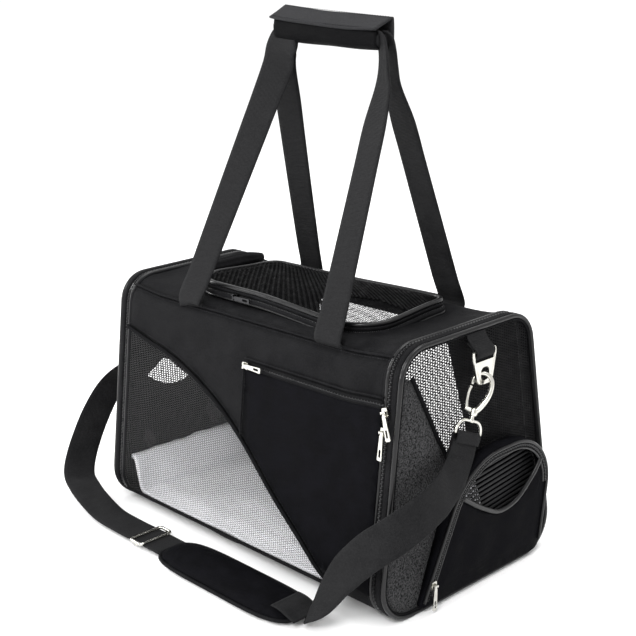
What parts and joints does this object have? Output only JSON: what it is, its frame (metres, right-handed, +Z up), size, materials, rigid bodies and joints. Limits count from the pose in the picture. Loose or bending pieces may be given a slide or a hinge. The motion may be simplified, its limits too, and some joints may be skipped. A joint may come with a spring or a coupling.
{
  "type": "pet carrier bag",
  "caption": "Soft-sided pet carrier bag with mesh windows, a top hatch, zipped end doors, carrying handles and a clip-on padded shoulder strap.",
  "frame": {"origin": "on the floor, at the middle of the bag's flat underside", "axes": "+Z up, +X towards the right-hand end door, -Y towards the front with the pocket"},
  "size_m": [0.561, 0.3287, 0.5724],
  "materials": {
    "shell_fabric": "black woven polyester, PVC-backed",
    "corner_fabric": "black heavy woven polyester",
    "webbing": "black polyester webbing",
    "mesh": "black open polyester mesh",
    "fleece": "light grey fleece",
    "zip_tape": "black coil zip",
    "piping": "black vinyl piping, satin",
    "stiffener": "grey plastic board",
    "nickel": "polished nickel plate",
    "pad_fabric": "black padded polyester"
  },
  "bodies": {
    "shell": {"floor_panel": "shell_fabric", "front_panel": "shell_fabric", "front_window_mesh": "mesh", "back_panel": "shell_fabric", "back_window_mesh": "mesh", "top_panel": "shell_fabric", "base_board": "stiffener", "fleece_pad": "fleece", "front_pocket_panel": "shell_fabric", "front_pocket_zip": "zip_tape", "hatch_curb": "zip_tape", "rolled_cover": "shell_fabric", "right_door_zip": "zip_tape", "left_door_zip": "zip_tape", "shoulder_strap_right": "webbing", "shoulder_strap_left": "webbing", "shoulder_strap_middle": "webbing"},
    "front_handle": {"front_handle_webbing": "webbing", "grip_wrap": "shell_fabric"},
    "back_handle": {"back_handle_webbing": "webbing", "grip_lid": "shell_fabric"},
    "hatch": {"hatch_rim": "piping", "hatch_mesh": "mesh"},
    "strap_adjuster": {"strap_adjuster": "nickel"},
    "shoulder_pad": {"shoulder_pad": "pad_fabric"},
    "front_pocket_slider": {"front_pocket_slider": "nickel"},
    "front_pocket_slider_pull": {"front_pocket_slider_pull": "nickel"},
    "hatch_slider": {"hatch_slider": "nickel"},
    "hatch_slider_pull": {"hatch_slider_pull": "nickel"},
    "right_upper_slider": {"right_upper_slider": "nickel"},
    "right_upper_slider_pull": {"right_upper_slider_pull": "nickel"},
    "right_lower_slider": {"right_lower_slider": "nickel"},
    "right_lower_slider_pull": {"right_lower_slider_pull": "nickel"},
    "left_door_slider": {"left_door_slider": "nickel"},
    "left_door_slider_pull": {"left_door_slider_pull": "nickel"},
    "right_door": {"right_rim": "piping", "right_end_mesh": "mesh", "right_end_panel": "corner_fabric", "right_pocket_zip": "zip_tape", "right_pocket_panel": "shell_fabric", "right_strap_tab": "webbing", "right_strap_ring": "nickel"},
    "right_tab_ring": {"right_tab_ring": "nickel"},
    "right_snap_hook": {"right_snap_hook": "nickel"},
    "right_hook_gate": {"right_hook_gate": "nickel"},
    "right_pocket_slider": {"right_pocket_slider": "nickel"},
    "right_pocket_slider_pull": {"right_pocket_slider_pull": "nickel"},
    "left_door": {"left_rim": "piping", "left_end_mesh": "mesh", "left_end_panel": "corner_fabric", "left_pocket_zip": "zip_tape", "left_pocket_panel": "shell_fabric", "left_strap_tab": "webbing", "left_strap_ring": "nickel"},
    "left_tab_ring": {"left_tab_ring": "nickel"},
    "left_snap_hook": {"left_snap_hook": "nickel"},
    "left_hook_gate": {"left_hook_gate": "nickel"},
    "left_pocket_slider": {"left_pocket_slider": "nickel"},
    "left_pocket_slider_pull": {"left_pocket_slider_pull": "nickel"}
  },
  "joints": [
    {"name": "front_handle_fold", "type": "hinge", "parent": "shell", "child": "front_handle", "pos_m": [0, -0.0918, 0.264], "axis": [1, 0, 0], "range_deg": [0, 150]},
    {"name": "back_handle_fold", "type": "hinge", "parent": "shell", "child": "back_handle", "pos_m": [0, 0.0918, 0.264], "axis": [1, 0, 0], "range_deg": [-150, 0]},
    {"name": "hatch_open", "type": "hinge", "parent": "shell", "child": "hatch", "pos_m": [0.0135, 0.055, 0.2743], "axis": [-1, 0, 0], "range_deg": [0, 75]},
    {"name": "adjuster_slide", "type": "slide", "parent": "shell", "child": "strap_adjuster", "axis": [1, 0, 0], "range_m": [-0.028, 0.008]},
    {"name": "pad_slide", "type": "slide", "parent": "shell", "child": "shoulder_pad", "axis": [1, 0, 0], "range_m": [-0.01, 0.008]},
    {"name": "front_pocket_slider_travel", "type": "slide", "parent": "shell", "child": "front_pocket_slider", "axis": [1, 0, 0], "range_m": [0, 0.165]},
    {"name": "front_pocket_slider_pull_flip", "type": "hinge", "parent": "front_pocket_slider", "child": "front_pocket_slider_pull", "pos_m": [0.01, -0.1097, 0.21771], "axis": [0, -0.1439, -0.9896], "range_deg": [0, 150]},
    {"name": "hatch_slider_travel", "type": "slide", "parent": "shell", "child": "hatch_slider", "axis": [1, 0, 0], "range_m": [0, 0.11]},
    {"name": "hatch_slider_pull_flip", "type": "hinge", "parent": "hatch_slider", "child": "hatch_slider_pull", "pos_m": [-0.042, -0.0771, 0.275], "axis": [0, 0, -1], "range_deg": [0, 150]},
    {"name": "right_upper_slider_travel", "type": "slide", "parent": "shell", "child": "right_upper_slider", "axis": [0, 0.1439, 0.9896], "range_m": [0, 0.015]},
    {"name": "right_upper_slider_pull_flip", "type": "hinge", "parent": "right_upper_slider", "child": "right_upper_slider_pull", "pos_m": [0.2108, -0.10877, 0.21573], "axis": [-0.9397, -0.0492, -0.3385], "range_deg": [0, 150]},
    {"name": "right_lower_slider_travel", "type": "slide", "parent": "shell", "child": "right_lower_slider", "axis": [0, -0.1439, -0.9896], "range_m": [0, 0.12]},
    {"name": "right_lower_slider_pull_flip", "type": "hinge", "parent": "right_lower_slider", "child": "right_lower_slider_pull", "pos_m": [0.2108, -0.11154, 0.19673], "axis": [-1, 0, 0], "range_deg": [0, 150]},
    {"name": "left_door_slider_travel", "type": "slide", "parent": "shell", "child": "left_door_slider", "axis": [0, 0.1439, -0.9896], "range_m": [0, 0.11]},
    {"name": "left_door_slider_pull_flip", "type": "hinge", "parent": "left_door_slider", "child": "left_door_slider_pull", "pos_m": [-0.2108, 0.11241, 0.19073], "axis": [1, 0, 0], "range_deg": [0, 150]},
    {"name": "right_door_open", "type": "hinge", "parent": "shell", "child": "right_door", "pos_m": [0.224, 0, 0.0015], "axis": [0, 1, 0], "range_deg": [0, 60], "deforming": ["shoulder_strap_right"]},
    {"name": "right_tab_ring_swing", "type": "hinge", "parent": "right_door", "child": "right_tab_ring", "pos_m": [0.2345, 0.008, 0.2528], "axis": [0, 1, 0], "range_deg": [-2, 2]},
    {"name": "right_hook_swivel", "type": "hinge", "parent": "right_door", "child": "right_snap_hook", "pos_m": [0.2345, 0.0043, 0.2217], "axis": [0, 0.41, 0.9121], "range_deg": [-4, 4]},
    {"name": "right_hook_gate_press", "type": "hinge", "parent": "right_snap_hook", "child": "right_hook_gate", "pos_m": [0.22856, -0.01165, 0.19927], "axis": [-0.6691, 0.6778, -0.3047], "range_deg": [0, 22], "stiffness_Nm_per_rad": 0.004, "springref_deg": -17.19},
    {"name": "right_pocket_slider_travel", "type": "slide", "parent": "right_door", "child": "right_pocket_slider", "axis": [0.0657, 0.3875, 0.9195], "range_m": [0, 0.07]},
    {"name": "right_pocket_slider_pull_flip", "type": "hinge", "parent": "right_pocket_slider", "child": "right_pocket_slider_pull", "pos_m": [0.2369, -0.067, 0.02964], "axis": [0, -1, 0], "range_deg": [0, 150]},
    {"name": "left_door_open", "type": "hinge", "parent": "shell", "child": "left_door", "pos_m": [-0.224, 0, 0.0015], "axis": [0, -1, 0], "range_deg": [0, 60], "deforming": ["shoulder_strap_left"]},
    {"name": "left_tab_ring_swing", "type": "hinge", "parent": "left_door", "child": "left_tab_ring", "pos_m": [-0.2345, 0.008, 0.2528], "axis": [0, 1, 0], "range_deg": [-2, 2]},
    {"name": "left_hook_swivel", "type": "hinge", "parent": "left_door", "child": "left_snap_hook", "pos_m": [-0.2345, 0.0043, 0.2217], "axis": [0, 0.41, 0.9121], "range_deg": [-4, 4]},
    {"name": "left_hook_gate_press", "type": "hinge", "parent": "left_snap_hook", "child": "left_hook_gate", "pos_m": [-0.22856, -0.01165, 0.19927], "axis": [-0.6691, -0.6778, 0.3047], "range_deg": [0, 22], "stiffness_Nm_per_rad": 0.004, "springref_deg": -17.19},
    {"name": "left_pocket_slider_travel", "type": "slide", "parent": "left_door", "child": "left_pocket_slider", "axis": [-0.0657, 0.3875, 0.9195], "range_m": [0, 0.07]},
    {"name": "left_pocket_slider_pull_flip", "type": "hinge", "parent": "left_pocket_slider", "child": "left_pocket_slider_pull", "pos_m": [-0.2369, -0.067, 0.02964], "axis": [0, 1, 0], "range_deg": [0, 150]}
  ],
  "couplings": [
    {"joint": "back_handle_fold", "follows": "front_handle_fold", "ratio": -1}
  ]
}
